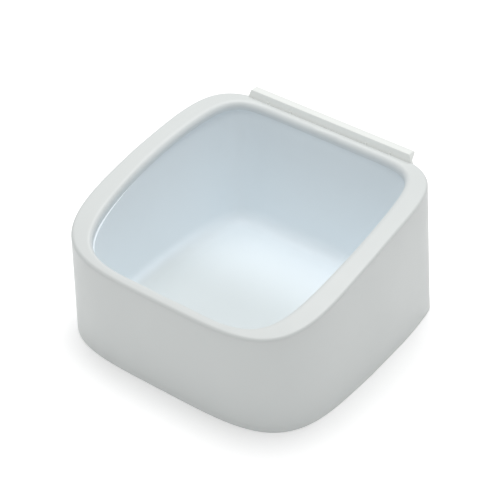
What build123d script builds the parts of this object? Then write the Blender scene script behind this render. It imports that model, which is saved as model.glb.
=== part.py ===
from build123d import *

import math
import os

os.makedirs("parts", exist_ok=True)

# Hook-on hutch feed bowl. Millimetres, +Z up, front of the bowl towards -Y.
# The origin is on the table under the middle of the overall box.
# Depths are measured from the bowl's middle, which lies a little in front of the origin.

# rim, overall
rim_half_width = 75.6
rim_depth_front = 71.8
rim_depth_back = 74.0
rim_height_front = 58.0
rim_rise = 28.8
rim_bulge = 5.2
rim_bow = 0.06

# corner roundness of a plan outline, where 2 is an ellipse and a large number is a square corner
rim_round_front = 4.35
rim_round_back = 5.3

# foot, which stands out under the sides and the back and stays in under the front
foot_flare_side = 1.4
foot_flare_back = 3.0
foot_draft_front = 2.8
foot_round_front = 4.2
foot_round_back = 24.0
foot_widest = 7.4
foot_bow = 0.075

# shell
wall = 2.2
outer_edge_radius = 1.5
rim_width_side = 12.4
mouth_round_front = 6.0
mouth_round_back = 9.0
mouth_bow = 0.09
lip_depth = 4.2
lip_width = 2.6
nose_radius = 3.4

# pan
pan_wall = 1.8
pan_step = 0.3
pan_seat_gap = 0.25
pan_draft_side = 8.7
pan_draft_front = 6.2
pan_draft_back = 3.6
floor_height = 14.0
floor_fillet = 9.0
flange_thickness = 1.6
flange_reach_side = 3.0
flange_reach_end = 0.4
flange_clearance = 1.4

# hanging strip
strip_setback = 3.1
strip_end_margin = 23.5
strip_thickness = 1.6
strip_end_lean = 1.9
strip_rise = 4.6
strip_seat_depth = 1.2
strip_corner_radius = 0.8
head_overhang = 3.2
head_lip = 1.3
head_slope_drop = 2.4
head_round = 0.5
tongue_inset = 20.7
tongue_width = 13.2
tongue_length = 11.0
tongue_lead = 1.5
relief_width = 1.3
relief_height = 2.4

# sockets for the tongues, inside the back of the shell
fit_gap = 0.15
socket_wall = 1.8
socket_floor = 1.6
socket_clearance = 0.35

# the front and back of the rim are as wide as what lies under them: skirt or socket, then flange and pan wall
pan_out = pan_step + pan_wall
flange_end = pan_out + flange_reach_end
rim_width_front = wall + flange_clearance + flange_end
rim_width_back = strip_setback + fit_gap + socket_wall + socket_clearance + flange_end

# the strip stands near the back of the rim, and the foot stands behind the rim
strip_front = rim_depth_back - strip_setback
strip_reach = strip_front + strip_thickness + head_overhang
foot_depth_back = rim_depth_back + foot_flare_back

# the bowl's middle, set so that the overall box is centred on the origin from front to back
mid_y = (rim_depth_front - max(strip_reach, foot_depth_back)) / 2

# section above everything, used to carry the drafted walls past the sloping rim
tall = rim_height_front + rim_rise + 14.0

# how far cutting tools reach past the bowl
beyond = 6.0

# where the plan outline is sampled: shares of its half size on the flats, degrees round the corners
flat_shares = (0.0, 0.25, 0.45, 0.65, 0.8)
corner_angles = range(15, 80, 10)
corner_clearance = 0.05


def quarter(roundness):
    """One quarter of a unit superellipse, from the middle of a side to the middle of an end."""
    power = 2 / roundness
    turns = [math.radians(angle) for angle in corner_angles]
    corner = [(math.cos(t) ** power, math.sin(t) ** power) for t in turns]
    flats = [v for v in flat_shares if v < corner[0][1] - corner_clearance]
    start = [((1 - v**roundness) ** (1 / roundness), v) for v in flats]
    end = [(y, x) for x, y in reversed(start)]
    return start + corner + end


def half_outline(size):
    """Right half of a plan outline, from the middle of the back round to the middle of the front.

    The sides are widest a little behind the bowl's middle and draw in by the bow towards each end.
    """
    half_width, depth_front, depth_back, round_front, round_back, widest, bow_front, bow_back = size
    back = [(x * (1 - bow_back * y * y), y * (depth_back - widest)) for x, y in quarter(round_back)[::-1]]
    front = [(x * (1 - bow_front * y * y), -y * (depth_front + widest)) for x, y in quarter(round_front)[1:]]
    return [(half_width * x, mid_y + widest + y) for x, y in back + front]


def rim_height(y):
    """Height of the sloping rim, which rises to the back and bows up a little half way."""
    t = (y - mid_y) / rim_depth_front
    return rim_height_front + rim_rise * (1 + t) / 2 + rim_bulge * (1 - t * t)


def carried_up(low, low_size, rim_size, drop):
    """Sizes at the tall section of straight walls that pass the rim, lowered by drop, with the rim's sizes."""
    side = rim_height(mid_y) - drop
    front = rim_height_front - drop
    back = rim_height_front + rim_rise - drop
    heights = (side, front, back, None, None, side, side, side)
    carried = []
    for at_low, at_rim, height in zip(low_size, rim_size, heights):
        carried.append(at_low + (at_rim - at_low) * (tall - low) / (height - low) if height else at_rim)
    return carried


def plan(size, height):
    """Closed plan outline at a height, the same on the left and the right."""
    with BuildSketch(Plane.XY.offset(height)) as sketch:
        with BuildLine():
            Spline(*half_outline(size), tangents=((1, 0), (-1, 0)))
            mirror(about=Plane.YZ)
        make_face()
    return sketch.sketch


def drafted_prism(low, low_size, rim_size, drop):
    """A ruled solid from an outline at one height through an outline on the rim and on up."""
    tall_size = carried_up(low, low_size, rim_size, drop)
    with BuildPart() as prism:
        loft([plan(low_size, low).face(), plan(tall_size, tall).face()], ruled=True)
    return prism.part


def straight_prism(size):
    with BuildPart() as prism:
        add(plan(size, 0))
        extrude(amount=tall)
    return prism.part


def below_rim(drop):
    """Everything under the rim surface lowered by drop."""
    reach = foot_depth_back + beyond
    steps = 9
    ys = [mid_y - reach + 2 * reach * i / (steps - 1) for i in range(steps)]
    width = rim_half_width + foot_flare_side + beyond
    with BuildPart() as block:
        with BuildSketch(Plane.YZ.offset(-width)):
            with BuildLine():
                top = Spline(*[(y, rim_height(y) - drop) for y in ys])
                Polyline(top @ 0, ((top @ 0).X, -beyond), ((top @ 1).X, -beyond), top @ 1)
            make_face()
        extrude(amount=2 * width)
    return block.part


def foot_size(inset):
    return (
        rim_half_width + foot_flare_side - inset,
        rim_depth_front - foot_draft_front - inset,
        foot_depth_back - inset,
        foot_round_front,
        foot_round_back,
        foot_widest,
        0,
        foot_bow,
    )


def rim_size(inset):
    return (
        rim_half_width - inset,
        rim_depth_front - inset,
        rim_depth_back - inset,
        rim_round_front,
        rim_round_back,
        (rim_depth_back - rim_depth_front) / 2,
        0,
        rim_bow,
    )


def mouth_size(side, front, back):
    """Mouth outline let out by three amounts, which may be negative."""
    return (
        rim_half_width - rim_width_side + side,
        rim_depth_front - rim_width_front + front,
        rim_depth_back - rim_width_back + back,
        mouth_round_front,
        mouth_round_back,
        0,
        mouth_bow,
        mouth_bow,
    )


def skirt(inset):
    """The skirt's outside, or its outside drawn in by an inset."""
    return drafted_prism(0, foot_size(inset), rim_size(inset), 0)


# strip seat and the two tongue sockets behind the pan
strip_y = mid_y + strip_front
strip_mid_y = strip_y + strip_thickness / 2
strip_half_length = rim_half_width - strip_end_margin
seat_height = rim_height(strip_y) - strip_seat_depth
strip_top = rim_height(strip_y) + strip_rise
slot_depth = strip_thickness + 2 * fit_gap
slot_width = tongue_width + 2 * fit_gap
slot_bottom = seat_height - tongue_length - fit_gap
socket_bottom = slot_bottom - socket_floor
socket_front = strip_y - fit_gap - socket_wall
socket_reach = mid_y + foot_depth_back - socket_front
tongue_x = strip_half_length - tongue_inset
tongues = [-tongue_x, tongue_x]

mouth_prism = straight_prism(mouth_size(0, 0, 0))

# socket blocks, trimmed to lie inside the skirt and under the rim surface
with BuildPart() as socket_blocks:
    with BuildSketch(Plane.XY.offset(socket_bottom)):
        with Locations(*[(x, socket_front + socket_reach / 2) for x in tongues]):
            Rectangle(slot_width + 2 * socket_wall, socket_reach)
    extrude(amount=tall - socket_bottom)
    add(skirt(wall / 2), mode=Mode.INTERSECT)
    add(below_rim(wall / 2), mode=Mode.INTERSECT)

# hollow under the rim, open at the foot
with BuildPart() as skirt_hollow:
    add(skirt(wall))
    add(below_rim(wall), mode=Mode.INTERSECT)

# lip that turns down round the mouth
with BuildPart() as mouth_lip:
    add(straight_prism(mouth_size(lip_width, lip_width, lip_width)))
    add(below_rim(wall / 2), mode=Mode.INTERSECT)
    add(below_rim(lip_depth), mode=Mode.SUBTRACT)

# shell: skirt, broad rim and turned-down lip in one moulding
with BuildPart() as outer_shell:
    add(skirt(0))
    add(below_rim(0), mode=Mode.INTERSECT)
    deck = outer_shell.faces().sort_by(Axis.Z)[-1]
    fillet(deck.edges(), outer_edge_radius)
    add(skirt_hollow.part, mode=Mode.SUBTRACT)
    add(socket_blocks.part)
    add(mouth_lip.part)
    add(mouth_prism, mode=Mode.SUBTRACT)
    deck = outer_shell.faces().filter_by(lambda f: f.normal_at().Z > 0.5).sort_by(SortBy.AREA)[-1]
    mouth_edges = deck.inner_wires()[0].edges()
    fillet(mouth_edges, nose_radius)
    with BuildSketch(Plane.XY.offset(seat_height)):
        with Locations((0, strip_y - fit_gap + rim_depth_back / 2)):
            Rectangle(2 * (strip_half_length + fit_gap), rim_depth_back)
    extrude(amount=tall - seat_height, mode=Mode.SUBTRACT)
    with BuildSketch(Plane.XY.offset(slot_bottom)):
        with Locations(*[(x, strip_mid_y) for x in tongues]):
            Rectangle(slot_width, slot_depth)
    extrude(amount=tall - slot_bottom, mode=Mode.SUBTRACT)
outer_shell.part.label = "outer_shell"
export_step(outer_shell.part, "parts/outer_shell.step")

# the pan hangs under the lip, its floor drawn in from the mouth by the three drafts
pan_drop = lip_depth + pan_seat_gap
pan_top = mouth_size(pan_step, pan_step, pan_step)
pan_outer_top = mouth_size(pan_out, pan_out, pan_out)
pan_floor = mouth_size(-pan_draft_side, -pan_draft_front, -pan_draft_back)
pan_outer_floor = mouth_size(pan_wall - pan_draft_side, pan_wall - pan_draft_front, pan_wall - pan_draft_back)

# outside of the pan, one wall thickness outside the food space
with BuildPart() as pan_outside:
    add(drafted_prism(floor_height - pan_wall, pan_outer_floor, pan_outer_top, pan_drop))
    fillet(pan_outside.faces().sort_by(Axis.Z)[0].edges(), floor_fillet + pan_wall)
    add(below_rim(pan_drop), mode=Mode.INTERSECT)

with BuildPart() as pan_flange:
    add(straight_prism(mouth_size(pan_out + flange_reach_side, flange_end, flange_end)))
    add(below_rim(pan_drop), mode=Mode.INTERSECT)
    add(below_rim(pan_drop + flange_thickness), mode=Mode.SUBTRACT)

# the food space itself
with BuildPart() as food_space:
    add(drafted_prism(floor_height, pan_floor, pan_top, pan_drop))
    fillet(food_space.faces().sort_by(Axis.Z)[0].edges(), floor_fillet)

# pan: drafted walls, coved floor and a flange that lies under the rim
with BuildPart() as feed_pan:
    add(pan_outside.part)
    add(pan_flange.part)
    add(food_space.part, mode=Mode.SUBTRACT)
feed_pan.part.label = "feed_pan"
export_step(feed_pan.part, "parts/feed_pan.step")

# strip: upright web with a wedge head leaning back over the wire, and two tongues below
strip_back_y = strip_y + strip_thickness
strip_tip = strip_back_y + head_overhang
tongue_bottom = seat_height - tongue_length
with BuildPart() as hanging_strip:
    with BuildSketch(Plane.YZ.offset(-rim_half_width)):
        with BuildLine():
            Polyline(
                (strip_y, tongue_bottom),
                (strip_y, strip_top),
                (strip_tip, strip_top),
                (strip_tip, strip_top - head_lip),
                (strip_back_y, strip_top - head_lip - head_slope_drop),
                (strip_back_y, tongue_bottom),
                close=True,
            )
        make_face()
    extrude(amount=2 * rim_half_width)
    with BuildSketch(Plane.XZ.offset(-strip_tip - beyond)):
        with BuildLine():
            Polyline(
                (-strip_half_length, seat_height),
                (strip_end_lean - strip_half_length, strip_top),
                (strip_half_length - strip_end_lean, strip_top),
                (strip_half_length, seat_height),
                close=True,
            )
        make_face()
        fillet(vertices().group_by(Axis.Y)[-1], strip_corner_radius)
        with Locations(*[(x, seat_height - tongue_length / 2) for x in tongues]):
            Rectangle(tongue_width, tongue_length)
        relief_x = tongue_width / 2 + relief_width / 2
        reliefs = [x + side * relief_x for x in tongues for side in (-1, 1)]
        with Locations(*[(x, seat_height) for x in reliefs]):
            SlotOverall(2 * relief_height, relief_width, rotation=90, mode=Mode.SUBTRACT)
    extrude(amount=strip_tip + beyond, mode=Mode.INTERSECT)
    lead = hanging_strip.edges().filter_by(Axis.Y).group_by(Axis.Z)[0]
    chamfer(lead, tongue_lead)
    head = hanging_strip.edges().filter_by(Axis.X).group_by(Axis.Z)[-1]
    fillet(head, head_round)
hanging_strip.part.label = "hanging_strip"
export_step(hanging_strip.part, "parts/hanging_strip.step")
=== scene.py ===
import bmesh
import bpy
import math
import numpy as np
from mathutils import Matrix, Vector


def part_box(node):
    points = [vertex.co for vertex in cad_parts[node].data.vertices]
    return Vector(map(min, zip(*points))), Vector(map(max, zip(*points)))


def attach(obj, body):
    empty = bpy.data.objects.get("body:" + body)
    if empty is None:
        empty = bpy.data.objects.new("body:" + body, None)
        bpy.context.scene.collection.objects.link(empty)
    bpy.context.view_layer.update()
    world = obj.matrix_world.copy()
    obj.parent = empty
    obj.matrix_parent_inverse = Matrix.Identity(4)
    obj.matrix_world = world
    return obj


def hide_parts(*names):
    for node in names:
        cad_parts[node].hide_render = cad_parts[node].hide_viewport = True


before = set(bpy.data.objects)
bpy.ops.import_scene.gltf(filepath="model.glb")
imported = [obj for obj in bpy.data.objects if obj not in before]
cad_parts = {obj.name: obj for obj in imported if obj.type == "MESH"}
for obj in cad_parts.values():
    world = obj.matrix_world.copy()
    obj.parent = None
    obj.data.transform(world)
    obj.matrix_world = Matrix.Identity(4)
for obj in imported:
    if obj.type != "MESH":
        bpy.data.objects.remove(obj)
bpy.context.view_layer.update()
print("frame loaded, nodes:", sorted(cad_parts))

mm = 0.001
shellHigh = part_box("outer_shell")[1] / mm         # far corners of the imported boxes, in millimetres
stripLow, stripHigh = (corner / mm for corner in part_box("hanging_strip"))

# outlines in millimetres: half width, depth to the front, depth to the back, roundness in front, roundness
# behind, how far behind the middle the sides are widest, and the share they draw in by at the front and back
midY = -2.6               # middle of the bowl, front to back
bowl = dict(
    midY=midY, tall=100.8,                        # the drafted walls are stated at the tall height
    rimFront=58.0, rimBack=86.8, rimBulge=5.2, rimReach=71.8,
    foot=(shellHigh.x - 0.02, 69.0, shellHigh.y - midY, 4.2, 24.0, 7.4, 0.0, 0.075),
    rim=(75.6, 71.8, 74.0, 4.35, 5.3, 1.1, 0.0, 0.06),
    mouth=(63.2, 65.7, 66.1, 6.0, 9.0, 0.0, 0.09, 0.09),
)


def rimHeight(y):
    # rises in a line from the front to the back, plus a parabola that bows it up half way
    t = (y - bowl["midY"]) / bowl["rimReach"]
    return ((bowl["rimFront"] + bowl["rimBack"]) / 2 + (bowl["rimBack"] - bowl["rimFront"]) / 2 * t
            + bowl["rimBulge"] * (1 - t * t))


def outline(t, size):
    # superellipse: each axis is the cosine or sine of t raised to 2 / roundness, front and back rounded
    # apart, and the half width shrinks with the square of the way to the front or back
    half, front, back, roundFront, roundBack, widest, bowFront, bowBack = size
    c, s = np.cos(t), np.sin(t)
    power = np.where(s > 0, 2 / roundBack, 2 / roundFront)
    along = np.sign(s) * np.maximum(np.abs(s), 1e-9) ** power
    x = half * np.sign(c) * np.maximum(np.abs(c), 1e-9) ** power
    x = x * (1 - np.where(s > 0, bowBack, bowFront) * along * along)
    y = along * np.where(s > 0, back - widest, front + widest)
    return np.stack([x, y + widest + bowl["midY"]], -1)


def inset(size, side, front=None, back=None):
    front, back = side if front is None else front, side if back is None else back
    return (size[0] - side, size[1] - front, size[2] - back, *size[3:])


def atTall(low, lowSize, rimSize, drop):
    # the sizes that straight walls reach at the tall section, carried on in a line from those at a low
    # height and on the lowered rim: low + (rim - low) * (tall - low height) / (rim height - low height)
    side, front, back = rimHeight(bowl["midY"]) - drop, bowl["rimFront"] - drop, bowl["rimBack"] - drop
    heights = (side, front, back, None, None, side, side, side)
    return tuple(b if h is None else a + (b - a) * (bowl["tall"] - low) / (h - low)
                 for a, b, h in zip(lowSize, rimSize, heights))


def ruled(t, h, low, lowSize, tallSize):
    # straight line from an outline at one height to the outline at the tall section, read at height h
    f = ((h - low) / (bowl["tall"] - low))[..., None]
    return outline(t, lowSize) * (1 - f) + outline(t, tallSize) * f


def meetRim(t, low, lowSize, tallSize, drop):
    # height at which each wall line meets the rim surface lowered by drop, found by repeated substitution
    h = np.full(t.shape, 70.0)
    for _ in range(30):
        h = rimHeight(ruled(t, h, low, lowSize, tallSize)[..., 1]) - drop
    return h


def quarterTurns(count):
    # t is crowded towards the middles of the sides, which spreads the points evenly along the outline
    w = np.arange(count) / count
    eased = w ** 2.2 / (w ** 2.2 + (1 - w) ** 2.2)
    return np.concatenate([(eased + k) * math.pi / 2 for k in range(4)])


def rings(columns):
    # columns of points, each (turns, 3), stacked to a grid of (columns, turns, 3)
    return np.stack(columns, 0)


def at(xy, z):
    return np.concatenate([xy, np.broadcast_to(z, xy.shape[:-1])[..., None]], -1)


def inwardNormal(curve):
    # normal of a closed plan curve that runs anticlockwise, from central differences
    step = np.roll(curve, -1, 0) - np.roll(curve, 1, 0)
    turned = np.stack([-step[:, 1], step[:, 0]], -1)
    return turned / np.linalg.norm(turned, axis=-1, keepdims=True)


def closedGrid(grid, ringClosed=True):
    # quads between neighbouring rings, the last joined to the first where the section is closed; a ring that
    # is one point closes itself when doubles are merged
    rows, turns = grid.shape[:2]
    points = grid.reshape(-1, 3)
    i = np.arange(rows if ringClosed else rows - 1)[:, None]
    j = np.arange(turns)[None, :]
    a, b = i * turns + j, i * turns + (j + 1) % turns
    c, d = ((i + 1) % rows) * turns + (j + 1) % turns, ((i + 1) % rows) * turns + j
    return points, np.stack([a, b, c, d], -1).reshape(-1, 4)


weldReach = 2e-6                                  # metres, well under the smallest real edge


def makePiece(name, points, faces, body, node, sharpAngle=35.0, inside=None):
    # millimetre points to a metre mesh, doubles merged first and normals turned out after
    mesh = bpy.data.meshes.new(name)
    mesh.from_pydata((points * mm).tolist(), [], faces.tolist())
    if inside is not None:      # 1 where the surface turns down into the mouth, for the material
        mesh.attributes.new("inside", "FLOAT", "POINT").data.foreach_set("value", inside)
    piece = bpy.data.objects.new(name, mesh)
    bpy.context.scene.collection.objects.link(piece)
    work = bmesh.new()
    work.from_mesh(mesh)
    bmesh.ops.remove_doubles(work, verts=work.verts, dist=weldReach)
    bmesh.ops.dissolve_degenerate(work, edges=work.edges, dist=weldReach)
    bmesh.ops.recalc_face_normals(work, faces=work.faces)
    work.to_mesh(mesh)
    openEdges = sum(len(e.link_faces) != 2 for e in work.edges)
    work.free()
    mesh.polygons.foreach_set("use_smooth", np.ones(len(mesh.polygons), bool))
    mesh.set_sharp_from_angle(angle=math.radians(sharpAngle))
    mesh.update()
    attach(piece, body)
    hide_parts(node)
    print(name, len(mesh.polygons), "faces,", openEdges, "edges not shared by two")
    return piece


fitGap = 0.15                                     # between the strip and its seat and sockets
tongue = dict(seatDepth=1.2, tongueOffset=31.4, tongueWidth=13.2, tongueLength=11.0)

shell = dict(
    tongue, wall=2.2, edgeRadius=1.5, noseRadius=3.4, footRadius=0.4, lipDepth=4.42, lipWidth=2.6,
    seatHalf=stripHigh.x + fitGap, stripFront=stripLow.y - midY, stripThick=1.6, gap=fitGap,
    socketWall=1.8, socketFloor=1.6,
    seatBlend=9.0,            # beside the seat, over which the rim's edge turns from straight to rounded
    nearSeat=60.0,            # half width in which the rim's samples start at the seat's front
    shelfShare=0.8,           # how far out under the rim the flat part of its underside goes
    innerStep=12.0,           # below the rim, where the even rings of the skirt's inside begin
)


def shellSurface(s):
    # rings of points from the foot up the wall, over the rolled edge, across the rim, round the nose and the
    # lip, and back down inside; along the back the rings step down into the strip's seat, slots and sockets
    foot, tallSize = bowl["foot"], atTall(0.0, bowl["foot"], bowl["rim"], 0.0)
    footIn = inset(foot, s["wall"])
    tallIn = atTall(0.0, footIn, inset(bowl["rim"], s["wall"]), 0.0)

    seatFront = bowl["midY"] + s["stripFront"] - s["gap"]
    seatZ = rimHeight(bowl["midY"] + s["stripFront"]) - s["seatDepth"]
    slotBack = seatFront + s["stripThick"] + 2 * s["gap"]
    slotZ = seatZ - s["tongueLength"] - s["gap"]
    socketFront, socketZ = seatFront - s["socketWall"], slotZ - s["socketFloor"]
    slotEnds = [s["tongueOffset"] + k * (s["tongueWidth"] / 2 + s["gap"]) for k in (-1, 1)]
    bossEnds = [slotEnds[0] - s["socketWall"], slotEnds[1] + s["socketWall"]]

    # turns: even ones, plus a pair at every place along the back where the section changes
    dense = np.linspace(1e-4, math.pi - 1e-4, 20001)
    edge = ruled(dense, np.full(dense.shape, bowl["rimBack"] - s["edgeRadius"]), 0.0, foot, tallSize)
    places = np.array([k * x for x in (*slotEnds, *bossEnds, s["seatHalf"]) for k in (-1, 1)])
    breaks = np.interp(places, edge[::-1, 0], dense[::-1])
    plain = quarterTurns(68)
    plain = plain[np.min(np.abs(plain[:, None] - breaks[None, :]), 1) > 0.004]
    tiny = 1e-6
    t = np.concatenate([plain, breaks, breaks])
    probe = np.concatenate([plain, breaks - tiny, breaks + tiny])
    order = np.argsort(probe)
    t, probe = t[order], probe[order]

    probeX = ruled(probe, np.full(t.shape, bowl["rimBack"] - s["edgeRadius"]), 0.0, foot, tallSize)[:, 0]
    atBack = np.sin(probe) > 0
    inZone = atBack & (np.abs(probeX) < s["seatHalf"] + 0.01)
    inSeat = atBack & (np.abs(probeX) < s["seatHalf"] - 1e-5)
    inSlot = atBack & (np.abs(probeX) > slotEnds[0]) & (np.abs(probeX) < slotEnds[1])
    inBoss = atBack & (np.abs(probeX) > bossEnds[0]) & (np.abs(probeX) < bossEnds[1])

    # outer edge of the rim, where the wall ends and the rolled edge begins
    edgeZ = meetRim(t, 0.0, foot, tallSize, s["edgeRadius"])
    start = ruled(t, edgeZ, 0.0, foot, tallSize)
    whole = np.linspace(0, 2 * math.pi, 4001)[:-1]
    normals = inwardNormal(ruled(whole, np.full(whole.shape, 75.0), 0.0, foot, tallSize))
    inward = np.stack([np.interp(t, whole, normals[:, k]) for k in (0, 1)], -1)
    away = np.clip((np.abs(start[:, 0]) - s["seatHalf"]) / s["seatBlend"], 0, 1)
    away = np.where(np.sin(t) > 0, away * away * (3 - 2 * away), 1.0)[:, None]
    inward = inward * away + np.array([0.0, -1.0]) * (1 - away)
    inward /= np.linalg.norm(inward, axis=-1, keepdims=True)

    # matching turn on the mouth: the same x along the back, the same share of the turn elsewhere
    zoneTurn = float(np.interp(s["seatHalf"], edge[::-1, 0], dense[::-1]))
    mouthX = outline(dense, bowl["mouth"])[:, 0]
    straight = np.interp(np.abs(start[:, 0]), mouthX[::-1], dense[::-1])
    mouthZone = float(np.interp(s["seatHalf"], mouthX[::-1], dense[::-1]))
    upTurn = np.minimum(t, math.pi - t)
    inCorner = np.where(upTurn < zoneTurn, upTurn * mouthZone / zoneTurn, straight)
    mouthTurn = np.where(np.sin(t) > 0, np.where(t < math.pi / 2, inCorner, math.pi - inCorner), t)
    mouth = outline(mouthTurn, bowl["mouth"])

    # distance in from the outer edge at which the top samples begin
    nearSeat = np.abs(start[:, 0]) < s["nearSeat"]
    reach = np.where(nearSeat, start[:, 1] - seatFront, s["edgeRadius"])
    reach = reach * (1 - away[:, 0]) + s["edgeRadius"] * away[:, 0]
    r, rn = s["edgeRadius"], s["noseRadius"]

    def drop(e, radius):
        # how far a quarter circle of that radius lies below its tangent plane, e in from its edge
        return radius - np.sqrt(np.maximum(radius ** 2 - np.maximum(radius - e, 0) ** 2, 0))

    columns = []
    for h in (0.0, 0.12, s["footRadius"]):      # small rounding where the wall meets the table
        pull = s["footRadius"] - math.sqrt(max(s["footRadius"] ** 2 - (s["footRadius"] - h) ** 2, 0))
        columns.append(at(ruled(t, np.full(t.shape, h), 0.0, foot, tallSize) + inward * pull, h))
    for f in np.linspace(0, 1, 17)[1:]:
        h = s["footRadius"] + f * (edgeZ - s["footRadius"])
        columns.append(at(ruled(t, h, 0.0, foot, tallSize), h))

    theta = np.arccos(1 - np.minimum(reach, r) / r)
    seatPoint = ruled(t, np.full(t.shape, seatZ), 0.0, foot, tallSize)
    lowZ = np.where(inSlot, slotZ, seatZ)
    corner = np.stack([start[:, 0], np.full(t.shape, seatFront)], -1)
    backCorner = np.stack([start[:, 0], np.full(t.shape, slotBack)], -1)
    topXY = start + inward * reach[:, None]
    topZ = rimHeight(topXY[:, 1]) - drop(reach, r)
    steps = [at(seatPoint, seatZ)] * 2 + [at(backCorner, seatZ)] * 2 + [at(backCorner, lowZ)] * 2
    steps += [at(corner, lowZ)] * 2 + [at(corner, topZ)]
    for k, stepped in enumerate(steps):
        e = r * (1 - np.cos(theta * (k + 1) / 9))
        xy = start + inward * e[:, None]
        rolled = at(xy, rimHeight(xy[:, 1]) - drop(e, r))
        columns.append(np.where(inSeat[:, None], stepped, rolled))
    columns.append(at(topXY, topZ))

    toMouth = mouth - topXY
    span = np.linalg.norm(toMouth, axis=-1)
    toMouth = toMouth / span[:, None]
    for f in np.linspace(0, 1, 13)[1:]:
        xy = topXY + toMouth * ((span - rn) * f)[:, None]
        e = reach + (span - rn) * f
        columns.append(at(xy, rimHeight(xy[:, 1]) - drop(e, r)))
    noseFirst = len(columns)
    for turn in np.linspace(0, math.pi / 2, 9)[1:]:
        xy = mouth - toMouth * (rn * (1 - math.sin(turn)))
        columns.append(at(xy, rimHeight(xy[:, 1]) - rn * (1 - math.cos(turn))))
    lipOut = outline(mouthTurn, inset(bowl["mouth"], -s["lipWidth"]))
    columns.append(at(mouth, rimHeight(mouth[:, 1]) - s["lipDepth"]))
    columns.append(at(lipOut, rimHeight(lipOut[:, 1]) - s["lipDepth"]))
    columns.append(at(lipOut, rimHeight(lipOut[:, 1]) - s["wall"]))

    # underside of the rim, the sockets, and the inside of the skirt
    innerZ = meetRim(t, 0.0, footIn, tallIn, s["wall"])
    innerTop = ruled(t, innerZ, 0.0, footIn, tallIn)
    shelf = lipOut + (innerTop - lipOut) * s["shelfShare"]
    shelf = np.where(inZone[:, None], np.stack([start[:, 0], np.full(t.shape, socketFront)], -1), shelf)
    for f in (0.33, 0.67, 1.0):
        xy = lipOut + (shelf - lipOut) * f
        columns.append(at(xy, rimHeight(xy[:, 1]) - s["wall"]))
    shelfEnd = np.where(inBoss[:, None], at(shelf, socketZ), at(innerTop, innerZ))
    columns.append(shelfEnd)
    lowerZ = np.where(inZone, socketZ, innerZ - s["innerStep"])
    columns.append(at(ruled(t, lowerZ, 0.0, footIn, tallIn), lowerZ))
    for f in np.linspace(1, 0, 9)[1:]:
        columns.append(at(ruled(t, lowerZ * f, 0.0, footIn, tallIn), lowerZ * f))
    # 0 on the rim, rising as the 1.5th power of the way round the nose, 1 on the lip
    # this mask places the painted light on the nose in the shell's material
    inside = np.zeros(len(columns))
    inside[noseFirst:noseFirst + 8] = np.linspace(0, 1, 9)[1:] ** 1.5
    inside[noseFirst + 8:noseFirst + 10] = 1.0
    return (*closedGrid(rings(columns)), np.repeat(inside, len(t)))


points, faces, inside = shellSurface(shell)
shellPiece = makePiece("outerShell", points, faces, "bowl", "outer_shell", inside=inside)


pan = dict(
    wall=1.8, step=0.3, drop=4.45, floorZ=14.0, draft=(8.7, 6.2, 3.6), cove=9.0,
    flangeThick=1.6, flangeReach=(5.1, 2.5, 2.5),
)


def panSurface(s):
    # rings from the middle of the floor round the cove and up the wall, out along the flange, and back
    # down outside
    t = quarterTurns(72)
    topSize, floorSize = inset(bowl["mouth"], -s["step"]), inset(bowl["mouth"], *s["draft"])
    tallSize = atTall(s["floorZ"], floorSize, topSize, s["drop"])
    outLow, outZ = inset(floorSize, -s["wall"]), s["floorZ"] - s["wall"]
    outTall = atTall(outZ, outLow, inset(topSize, -s["wall"]), s["drop"])

    def wallLines(low, lowSize, tallS, radius, topZ):
        # columns from the middle of the floor, out along it, round the cove and up the wall to topZ; the
        # cove's centre lies on the bisector of floor and wall, radius / sin(half the angle) from their corner,
        # and it touches both at radius / tan(half the angle); its points turn evenly between those places
        floorXY = outline(t, lowSize)
        up = outline(t, tallS) - floorXY
        up = np.concatenate([up, np.full((len(t), 1), bowl["tall"] - low)], -1)
        up /= np.linalg.norm(up, axis=-1, keepdims=True)
        inn = np.concatenate([inwardNormal(floorXY), np.zeros((len(t), 1))], -1)
        angle = np.arccos(np.sum(up * inn, -1, keepdims=True))
        tangent = radius / np.tan(angle / 2)
        cornerPoint = at(floorXY, low)
        middle = up + inn
        middle /= np.linalg.norm(middle, axis=-1, keepdims=True)
        centre = cornerPoint + middle * radius / np.sin(angle / 2)
        first, last = cornerPoint + inn * tangent, cornerPoint + up * tangent
        found = []
        hub = np.array([0.0, bowl["midY"], low])
        for f in (0.0, 0.12, 0.3, 0.5, 0.7, 0.86):
            found.append(hub + (first - hub) * f)
        sweep = math.pi - angle
        for f in np.linspace(0, 1, 13):
            a, b = np.sin((1 - f) * sweep) / np.sin(sweep), np.sin(f * sweep) / np.sin(sweep)
            found.append(centre + (first - centre) * a + (last - centre) * b)
        lastZ = last[:, 2]
        for f in np.linspace(0, 1, 17)[1:]:
            h = lastZ + (topZ - lastZ) * f
            found.append(at(ruled(t, h, low, lowSize, tallS), h))
        return found

    innerTop = meetRim(t, s["floorZ"], floorSize, tallSize, s["drop"])
    outerTop = meetRim(t, outZ, outLow, outTall, s["drop"] + s["flangeThick"])
    columns = wallLines(s["floorZ"], floorSize, tallSize, s["cove"], innerTop)
    flange = outline(t, inset(bowl["mouth"], *[-reach for reach in s["flangeReach"]]))
    topEdge = columns[-1][:, :2]
    for f in (0.5, 1.0):
        xy = topEdge + (flange - topEdge) * f
        columns.append(at(xy, rimHeight(xy[:, 1]) - s["drop"]))
    columns.append(at(flange, rimHeight(flange[:, 1]) - s["drop"] - s["flangeThick"]))
    back = wallLines(outZ, outLow, outTall, s["cove"] + s["wall"], outerTop)
    return closedGrid(rings(columns + back[::-1]), ringClosed=False)


points, faces = panSurface(pan)
panPiece = makePiece("feedPan", points, faces, "bowl", "feed_pan")


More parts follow.
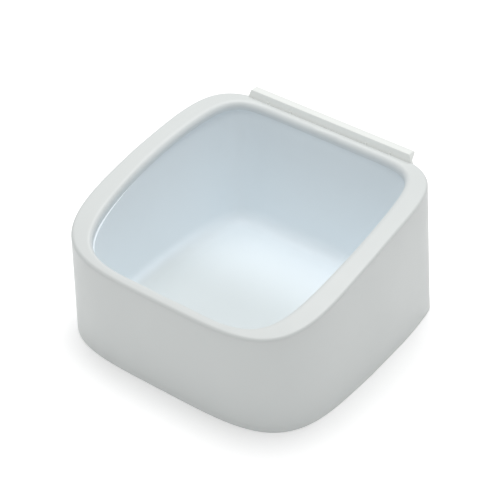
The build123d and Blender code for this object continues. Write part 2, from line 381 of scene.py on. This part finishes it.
strip = dict(
    tongue, front=stripLow.y - midY, thick=1.6, top=stripHigh.z - 0.004, overhang=3.2, lip=1.3, slopeDrop=2.4,
    edge=0.5, halfLength=stripHigh.x, topHalfLength=50.2, cornerRadius=0.8,
    lead=1.5, reliefWidth=1.3, reliefHeight=2.4,
    leanFrom=44.0,            # beyond this place the ends lean in towards the top
)


def stripSurface(s):
    # one section, a web with a wedge head, carried along the strip; its lower edge follows the tongues
    # and the notches beside them
    seat = rimHeight(bowl["midY"] + s["front"]) - s["seatDepth"]
    y0 = bowl["midY"] + s["front"]
    y1, y2 = y0 + s["thick"], y0 + s["thick"] + s["overhang"]

    # places along the strip: even ones, and pairs where the lower edge steps
    half, rr = s["tongueWidth"] / 2, s["reliefWidth"] / 2
    local = [-half - 2 * rr, -half, -half + s["lead"], half - s["lead"], half, half + 2 * rr]
    arcs = [k * (half + rr) + rr * math.cos(a) for k in (-1, 1) for a in np.linspace(0.12, math.pi - 0.12, 9)]
    ends = s["halfLength"] - s["cornerRadius"] * (1 - np.cos(np.linspace(0, math.pi / 2, 7)))
    even = np.linspace(-ends[-1], ends[-1], 61)
    marks = np.concatenate([np.array(local + arcs) + k * s["tongueOffset"] for k in (-1, 1)] + [ends, -ends])
    even = even[np.min(np.abs(even[:, None] - marks[None, :]), 1) > 0.4]
    reliefEdges = (-half - 2 * rr, -half, half, half + 2 * rr)
    stepsX = np.array([k * s["tongueOffset"] + v for k in (-1, 1) for v in reliefEdges])
    x = np.concatenate([even, marks, stepsX])
    probe = np.concatenate([even, marks - 1e-5, stepsX + 1e-5])
    order = np.argsort(probe)
    x, probe = x[order], probe[order]

    # lower edge: the seat, down to the tongues' ends, up into the relief notches beside them
    fromTongue = np.abs(np.abs(probe) - s["tongueOffset"])
    inTongue = fromTongue < half
    inRelief = (fromTongue > half) & (fromTongue < half + 2 * rr)
    arch = np.sqrt(np.maximum(rr ** 2 - (fromTongue - half - rr) ** 2, 0))
    lead = np.maximum(fromTongue - (half - s["lead"]), 0)
    lower = np.where(inTongue, seat - s["tongueLength"] + lead, seat)
    lower = np.where(inRelief, seat + s["reliefHeight"] - rr + arch, lower)

    # section: front face, rounded front edge, flat top, rounded tip, sloping underside, back of the web
    q = np.linspace(0, math.pi / 2, 6)
    e = s["edge"]
    mid = seat + s["reliefHeight"] + 0.3
    sectionY = [y0, y0, y0] + list(y0 + e * (1 - np.cos(q))) + [y0 + 1.4, y0 + 2.9]
    sectionY += list(y2 - e + e * np.sin(q)) + [y2, y1, y1, y1]
    sectionZ = [None, mid, (mid + s["top"]) / 2] + list(s["top"] - e + e * np.sin(q)) + [s["top"], s["top"]]
    underTip = s["top"] - s["lip"]
    sectionZ += list(s["top"] - e + e * np.cos(q)) + [underTip, underTip - s["slopeDrop"], mid, None]
    columns = []
    keep = s["leanFrom"]
    for y, z in zip(sectionY, sectionZ):
        height = lower if z is None else np.full(x.shape, z)
        end = s["halfLength"] + (s["topHalfLength"] - s["halfLength"]) * (height - seat) / (s["top"] - seat)
        end = np.minimum(end, s["halfLength"])
        over = np.maximum(height - (s["top"] - s["cornerRadius"]), 0)
        end = end - (s["cornerRadius"] - np.sqrt(np.maximum(s["cornerRadius"] ** 2 - over ** 2, 0)))
        lean = keep + (np.abs(x) - keep) * (end - keep) / (s["halfLength"] - keep)
        px = np.where(np.abs(x) > keep, np.sign(x) * lean, x)
        columns.append(np.stack([px, np.full(x.shape, y), height], -1))
    grid = rings(columns)                         # (section, along, 3)
    rows, along = grid.shape[:2]
    i, j = np.arange(rows)[:, None], np.arange(along - 1)[None, :]
    a, b = i * along + j, (i + 1) % rows * along + j
    sides = np.stack([a, a + 1, b + 1, b], -1).reshape(-1, 4)
    k = np.arange(rows // 2)
    caps = []
    for j0 in (0, along - 1):                     # ends: front points joined to the level back points
        a, b = k * along + j0, (k + 1) * along + j0
        c, d = (rows - 2 - k) * along + j0, (rows - 1 - k) * along + j0
        caps.append(np.stack([a, b, c, d], -1)[:rows // 2 - 1])
    return grid.reshape(-1, 3), np.concatenate([sides, *caps])


points, faces = stripSurface(strip)
stripPiece = makePiece("hangingStrip", points, faces, "strip", "hanging_strip", 40.0)


def plastic(name, s):
    # moulded plastic: one colour that fades a little in broad clouds, then blended towards painted light on
    # the rim's nose where it rolls into the mouth and towards painted shade on the pan's floor, with a
    # constant painted glow; roughness = middle value plus or minus a patchy share; relief = waves plus grain
    made = bpy.data.materials.new(name)
    made.use_nodes = True
    nodes, links = made.node_tree.nodes, made.node_tree.links
    shader = nodes["Principled BSDF"]
    shader.inputs["IOR"].default_value = 1.49
    place = nodes.new("ShaderNodeTexCoord")

    def noise(scale, detail, rough):
        n = nodes.new("ShaderNodeTexNoise")
        n.inputs["Scale"].default_value = scale
        n.inputs["Detail"].default_value = detail
        n.inputs["Roughness"].default_value = rough
        links.new(place.outputs["Object"], n.inputs["Vector"])
        return n

    def between(source, low, high, start=0.3, end=0.7, kind="LINEAR"):
        # low where the source is at start, high where it is at end
        ramp = nodes.new("ShaderNodeMapRange")
        ramp.interpolation_type = kind
        for socket, value in (("From Min", start), ("From Max", end), ("To Min", low), ("To Max", high)):
            ramp.inputs[socket].default_value = value
        links.new(source, ramp.inputs["Value"])
        return ramp.outputs["Result"]

    def blendTo(tone, colour, factor):
        # tone where the factor is 0, colour where it is 1; tone is a colour or the socket of an earlier blend
        over = nodes.new("ShaderNodeMix")
        over.data_type = "RGBA"
        over.inputs[7].default_value = (*colour, 1)
        if isinstance(tone, tuple):
            over.inputs[6].default_value = (*tone, 1)
        else:
            links.new(tone, over.inputs[6])
        links.new(factor, over.inputs["Factor"])
        return over.outputs[2]

    def bump(strength, distance, source, under=None):
        relief = nodes.new("ShaderNodeBump")
        relief.inputs["Strength"].default_value = strength
        relief.inputs["Distance"].default_value = distance
        links.new(source.outputs["Fac"], relief.inputs["Height"])
        if under is not None:
            links.new(under, relief.inputs["Normal"])
        return relief.outputs["Normal"]

    cloud = noise(s["cloud"], 3.0, 0.5)
    tone = blendTo(s["colour"], [c * s["fade"] for c in s["colour"]], between(cloud.outputs["Fac"], 0.0, 1.0))
    if "noseLightColour" in s:                   # painted light: the nose is given a lighter, bluer tone than the rim, which lifts the shade where the rim rolls into the mouth
        mark = nodes.new("ShaderNodeAttribute")
        mark.attribute_name = "inside"
        tone = blendTo(tone, s["noseLightColour"], mark.outputs["Fac"])
    if "floorColour" in s:                    # painted shade: the pan's floor is painted darker, most of all in front and less towards the back, which tempers the overhead light on it
        split = nodes.new("ShaderNodeSeparateXYZ")
        links.new(place.outputs["Object"], split.inputs["Vector"])
        both = nodes.new("ShaderNodeMath")
        both.operation = "MULTIPLY"
        links.new(between(split.outputs["Z"], 1.0, 0.0, *s["floorShadeUp"], "SMOOTHSTEP"), both.inputs[0])
        links.new(between(split.outputs["Y"], 1.0, 0.0, *s["floorShadeAlong"], "SMOOTHSTEP"), both.inputs[1])
        tone = blendTo(tone, s["floorColour"], both.outputs["Value"])
    links.new(tone, shader.inputs["Base Color"])
    shader.inputs["Emission Color"].default_value = (*s["colour"], 1)
    shader.inputs["Emission Strength"].default_value = s["paintedGlow"]        # painted light: a constant glow that brightens the plastic's shaded faces, most of all the strip's front face
    patch = noise(s["patch"], 4.0, 0.6)
    links.new(between(patch.outputs["Fac"], s["rough"] - 0.05, s["rough"] + 0.06), shader.inputs["Roughness"])
    wave = bump(s["waveStrength"], 0.0003, noise(45.0, 2.0, 0.4))       # long, shallow waves of moulding
    grain = bump(s["grainStrength"], 0.00004, noise(2600.0, 2.0, 0.5), wave)        # fine spark-eroded grain
    links.new(grain, shader.inputs["Normal"])
    return made


satin = dict(fade=0.985, cloud=18.0, patch=60.0, waveStrength=0.25, grainStrength=0.35)
# the shell's second tone is painted light on the rim's nose
satinWhite = dict(satin, colour=(0.67, 0.697, 0.69), noseLightColour=(0.73, 0.775, 0.795), rough=0.42, paintedGlow=0.0)
# the pan's floorColour is painted shade on its floor, darker towards the front
blueWhite = dict(satin, colour=(0.845, 0.907, 0.945), floorColour=(0.60, 0.64, 0.645), rough=0.45, paintedGlow=0.025,
                 floorShadeUp=(0.0138, 0.0185), floorShadeAlong=(-0.01, 0.062))
# the strip's glow is painted light that brightens its shaded front face
stripWhite = dict(satin, colour=(0.52, 0.535, 0.52), rough=0.40, paintedGlow=0.58)
for piece, material in ((shellPiece, plastic("satinShellPlastic", satinWhite)),
                        (panPiece, plastic("satinPanPlastic", blueWhite)),
                        (stripPiece, plastic("satinStripPlastic", stripWhite))):
    piece.data.materials.clear()
    piece.data.materials.append(material)
print("materials made")


studio = dict(floorColour=0.93, floorGlow=0.26, worldStrength=0.37, overheadWatts=10.1, overheadSize=0.9,
              front=-2.5, back=2.0, half=3.0, curve=1.0, flatRows=20, curveRows=14, columns=13)


def makeFloor(s):
    # a flat sheet that curves up far behind: back + curve * sin, curve - curve * cos, carried sideways
    turn = np.linspace(0.1, math.pi / 2, s["curveRows"])
    flat = np.linspace(s["front"], s["back"], s["flatRows"])
    profileY = np.concatenate([flat, s["back"] + s["curve"] * np.sin(turn)])
    profileZ = np.concatenate([np.zeros(s["flatRows"]), s["curve"] * (1.0 - np.cos(turn))])
    rows, columns = len(profileY), s["columns"]
    across, along = np.meshgrid(np.linspace(-s["half"], s["half"], columns), profileY)
    pts = np.stack([across, along, np.broadcast_to(profileZ[:, None], across.shape)], -1)
    i, j = np.arange(rows - 1)[:, None], np.arange(columns - 1)[None, :]
    a, b = i * columns + j, (i + 1) * columns + j
    quads = np.stack([a, a + 1, b + 1, b], -1).reshape(-1, 4)
    mesh = bpy.data.meshes.new("studioFloor")
    mesh.from_pydata(pts.reshape(-1, 3).tolist(), [], quads.tolist())
    mesh.polygons.foreach_set("use_smooth", np.ones(len(mesh.polygons), bool))
    floor = bpy.data.objects.new("studioFloor", mesh)
    bpy.context.scene.collection.objects.link(floor)
    paper = bpy.data.materials.new("palePaper")
    paper.use_nodes = True
    shader = paper.node_tree.nodes["Principled BSDF"]
    shader.inputs["Base Color"].default_value = (s["floorColour"],) * 3 + (1,)
    shader.inputs["Roughness"].default_value = 0.9
    shader.inputs["Specular IOR Level"].default_value = 0.1
    shader.inputs["Emission Color"].default_value = (1, 1, 1, 1)
    shader.inputs["Emission Strength"].default_value = s["floorGlow"]   # keeps the paper white up to the foot
    mesh.materials.append(paper)


makeFloor(studio)

world = bpy.data.worlds.new("softRoom")
bpy.context.scene.world = world
world.use_nodes = True
world.node_tree.nodes["Background"].inputs["Color"].default_value = (1.0, 1.0, 1.0, 1)
world.node_tree.nodes["Background"].inputs["Strength"].default_value = studio["worldStrength"]


def softLight(name, place, aim, size, power):
    lamp = bpy.data.lights.new(name, "AREA")
    lamp.shape = "SQUARE"
    lamp.size, lamp.energy = size, power
    holder = bpy.data.objects.new(name, lamp)
    bpy.context.scene.collection.objects.link(holder)
    holder.location = place
    holder.rotation_mode = "QUATERNION"
    holder.rotation_quaternion = (Vector(aim) - Vector(place)).to_track_quat("-Z", "Y")


softLight("overhead", (-0.1, 0.15, 1.1), (0, 0, 0.04), studio["overheadSize"], studio["overheadWatts"])

cameraView = dict(azimuth=35.17, elevation=36.97, roll=2.14, distance=0.9126, lens=127.4,
                  aim=(0.0, midY * mm, 0.040), offRight=0.00274, offUp=0.00723)


def makeCamera(s):
    # stands off along azimuth and elevation, rolled about its own axis, then looks a small slope right and up
    a, e, roll = (math.radians(s[k]) for k in ("azimuth", "elevation", "roll"))
    back = Vector((math.sin(a) * math.cos(e), -math.cos(a) * math.cos(e), math.sin(e)))
    right = (-back).cross(Vector((0, 0, 1))).normalized()
    up = right.cross(-back)
    tiltedRight = right * math.cos(roll) + up * math.sin(roll)
    tiltedUp = up * math.cos(roll) - right * math.sin(roll)
    look = (-back + tiltedRight * s["offRight"] + tiltedUp * s["offUp"]).normalized()
    side = (tiltedRight - look * tiltedRight.dot(look)).normalized()
    top = side.cross(look)
    lensData = bpy.data.cameras.new("camera")
    lensData.lens, lensData.sensor_width = s["lens"], 36.0
    lensData.clip_start, lensData.clip_end = 0.05, 20.0
    camera = bpy.data.objects.new("camera", lensData)
    bpy.context.scene.collection.objects.link(camera)
    turn = Matrix((side, top, -look)).transposed().to_4x4()
    turn.translation = Vector(s["aim"]) + back * s["distance"]
    camera.matrix_world = turn
    bpy.context.scene.camera = camera


makeCamera(cameraView)
bpy.context.scene.view_settings.view_transform = "Standard"
print("camera and lights set")
